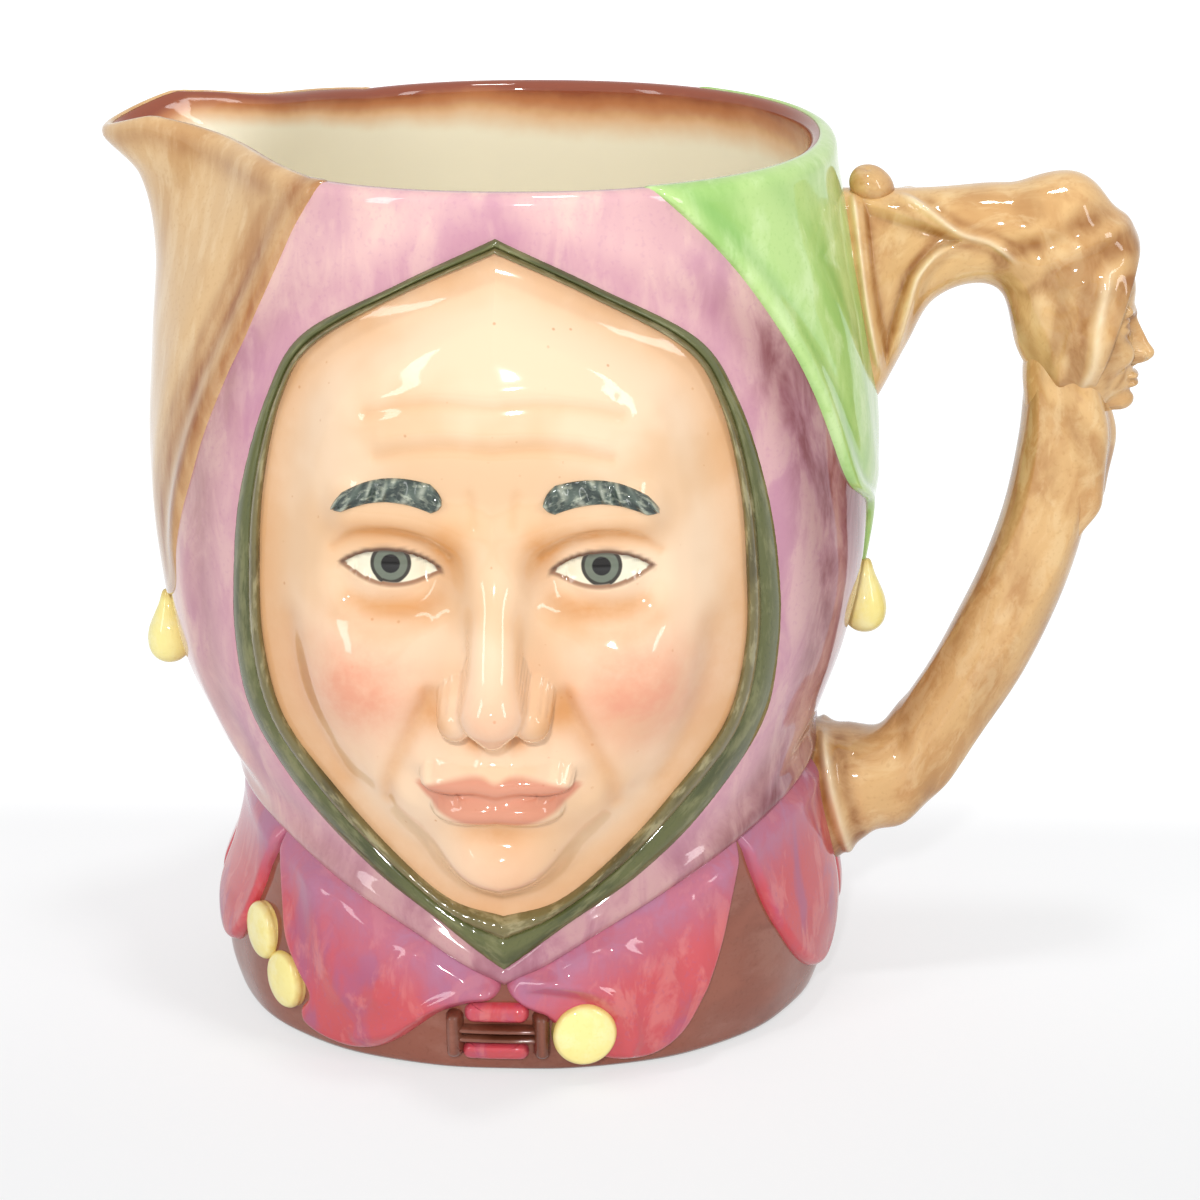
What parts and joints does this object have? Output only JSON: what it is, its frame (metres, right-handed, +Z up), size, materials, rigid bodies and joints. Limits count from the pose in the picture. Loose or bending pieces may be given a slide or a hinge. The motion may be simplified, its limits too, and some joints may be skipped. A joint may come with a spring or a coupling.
{
  "type": "character jug",
  "caption": "Glazed earthenware jug modelled as a jester's head in a hood, with a pouring lip, a dagged collar and a handle in the form of a fool's stick.",
  "frame": {"origin": "middle of the foot, on the surface that the jug stands on", "axes": "+Z up, the face looks along -Y, the handle is at +X and the pouring lip at -X"},
  "size_m": [0.2141, 0.1587, 0.183],
  "materials": {
    "cream_glaze": "cream glazed earthenware",
    "lilac_glaze": "lilac painted under clear glaze",
    "tan_glaze": "tan painted under clear glaze",
    "green_glaze": "light green painted under clear glaze",
    "olive_glaze": "olive painted under clear glaze",
    "flesh_glaze": "flesh tones painted under clear glaze",
    "brow_glaze": "dark grey green painted under clear glaze",
    "brown_glaze": "chocolate brown painted under clear glaze",
    "crimson_glaze": "crimson and mauve painted under clear glaze",
    "yellow_glaze": "butter yellow painted under clear glaze",
    "stick_glaze": "caramel brown painted under clear glaze"
  },
  "bodies": {
    "root": {"jug_body": "cream_glaze", "hood_centre": "lilac_glaze", "hood_spout_point": "tan_glaze", "hood_handle_point": "green_glaze", "hood_edge_roll": "olive_glaze", "hood_edge_band": "olive_glaze", "face": "flesh_glaze", "eyebrow_left": "brow_glaze", "eyebrow_right": "brow_glaze", "tunic": "brown_glaze", "collar_front_left": "crimson_glaze", "collar_front_right": "crimson_glaze", "collar_side_left": "crimson_glaze", "collar_side_right": "crimson_glaze", "collar_back": "crimson_glaze", "front_button": "yellow_glaze", "side_button_upper": "yellow_glaze", "side_button_lower": "yellow_glaze", "clasp_bar_left": "brown_glaze", "clasp_bar_right": "brown_glaze", "clasp_loop": "brown_glaze", "clasp_strap_upper": "crimson_glaze", "clasp_strap_lower": "crimson_glaze", "bell_left": "yellow_glaze", "bell_right": "yellow_glaze", "handle_stick": "stick_glaze", "small_head": "stick_glaze", "small_hood": "stick_glaze", "small_hood_knob": "stick_glaze", "small_hair": "stick_glaze"}
  },
  "joints": []
}
